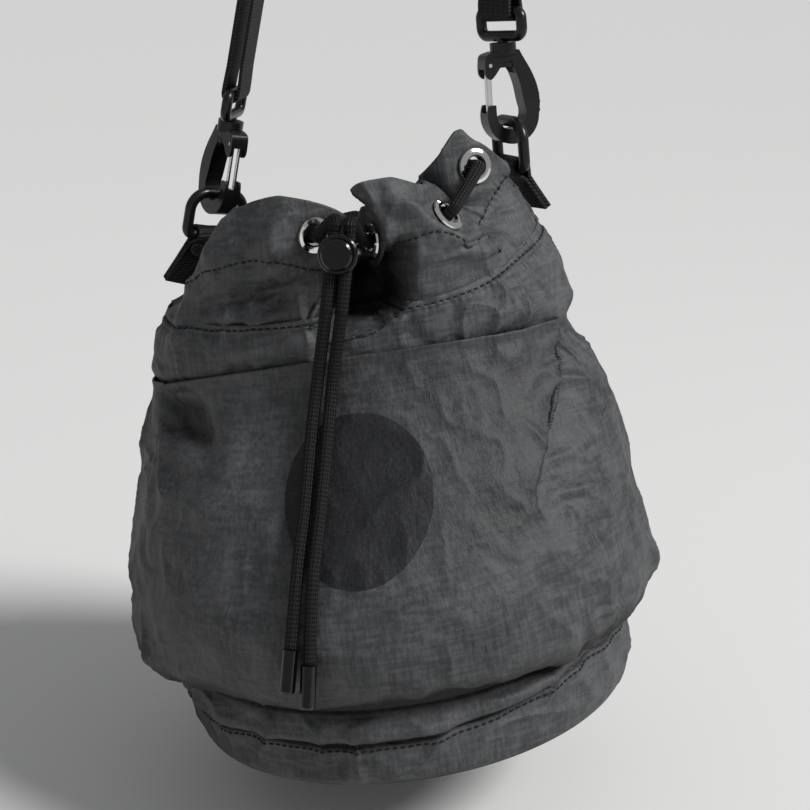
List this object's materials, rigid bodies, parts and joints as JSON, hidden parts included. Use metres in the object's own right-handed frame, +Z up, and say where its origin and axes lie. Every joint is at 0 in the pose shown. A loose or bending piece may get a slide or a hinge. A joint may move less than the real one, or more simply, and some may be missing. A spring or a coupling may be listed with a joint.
{
  "type": "drawstring bucket bag",
  "caption": "Round-based drawstring bucket bag with a front pocket and cord lock, hanging by an adjustable webbing strap on swivel snap hooks.",
  "frame": {"origin": "outside of the strap's top, where it hangs over a peg", "axes": "+Z up, +X towards the bag's right side as seen from its front, -Y towards the front pocket"},
  "size_m": [0.2328, 0.2417, 0.626],
  "materials": {
    "nylon": "matte, crinkled",
    "webbing": "ribbed",
    "cord": "braided",
    "board": "matte",
    "black_satin": "satin",
    "black_gloss": "gloss",
    "nickel": "polished",
    "steel": "bright"
  },
  "bodies": {
    "strap": {"strap": "webbing", "left_swivel_eye": "black_satin", "right_swivel_eye": "black_satin"},
    "slider": {"strap_slider": "black_satin"},
    "left_hook": {"left_hook": "black_satin"},
    "right_hook": {"right_hook": "black_satin"},
    "left_gate": {"left_gate": "steel"},
    "right_gate": {"right_gate": "steel"},
    "bag": {"base_panel": "nylon", "base_stiffener": "board", "base_band": "nylon", "body_back": "nylon", "body_front": "nylon", "front_pocket": "nylon", "yoke": "nylon", "collar": "nylon", "eyelets": "nickel", "eyelet_washers": "nickel", "left_tab": "webbing", "right_tab": "webbing", "left_ring": "black_satin", "right_ring": "black_satin", "drawstring": "cord", "cord_end_left": "cord", "cord_end_right": "cord", "cord_tip_left": "black_gloss", "cord_tip_right": "black_gloss"},
    "cord_lock": {"cord_lock_body": "black_gloss", "cord_lock_spring": "steel"},
    "lock_button": {"cord_lock_button": "black_gloss"}
  },
  "joints": [
    {"name": "bag_swing", "type": "hinge", "parent": "strap", "child": "bag", "pos_m": [-0.02136, -0.00285, -0.37267], "axis": [0.9658, 0.0001, 0.2593], "range_deg": [-10, 10]},
    {"name": "left_hook_swivel", "type": "hinge", "parent": "strap", "child": "left_hook", "pos_m": [-0.08554, -0.00286, -0.3899], "axis": [0.1953, 0.0074, 0.9807], "range_deg": [-18, 18]},
    {"name": "right_hook_swivel", "type": "hinge", "parent": "strap", "child": "right_hook", "pos_m": [0.04281, -0.00284, -0.35544], "axis": [-0.0951, 0.0082, 0.9954], "range_deg": [-18, 18]},
    {"name": "left_gate_swing", "type": "hinge", "parent": "left_hook", "child": "left_gate", "pos_m": [-0.07546, -0.00853, -0.36718], "axis": [0.7168, 0.6814, -0.1478], "range_deg": [0, 24], "stiffness_Nm_per_rad": 0.01, "springref_deg": -11.46},
    {"name": "right_gate_swing", "type": "hinge", "parent": "right_hook", "child": "right_gate", "pos_m": [0.03361, -0.00665, -0.33198], "axis": [0.4974, -0.8658, 0.0546], "range_deg": [0, 24], "stiffness_Nm_per_rad": 0.01, "springref_deg": -11.46},
    {"name": "cord_lock_slide", "type": "slide", "parent": "bag", "child": "cord_lock", "axis": [-0.0894, -0.1302, -0.9875], "range_m": [0, 0.006]},
    {"name": "cord_lock_press", "type": "slide", "parent": "cord_lock", "child": "lock_button", "axis": [-0.0117, 0.9915, -0.1297], "range_m": [0, 0.0024], "stiffness_N_per_m": 800, "springref_m": -0.0015},
    {"name": "strap_slider_slide", "type": "slide", "parent": "strap", "child": "slider", "axis": [0.1953, 0.0074, 0.9807], "range_m": [-0.06, 0.04]}
  ]
}
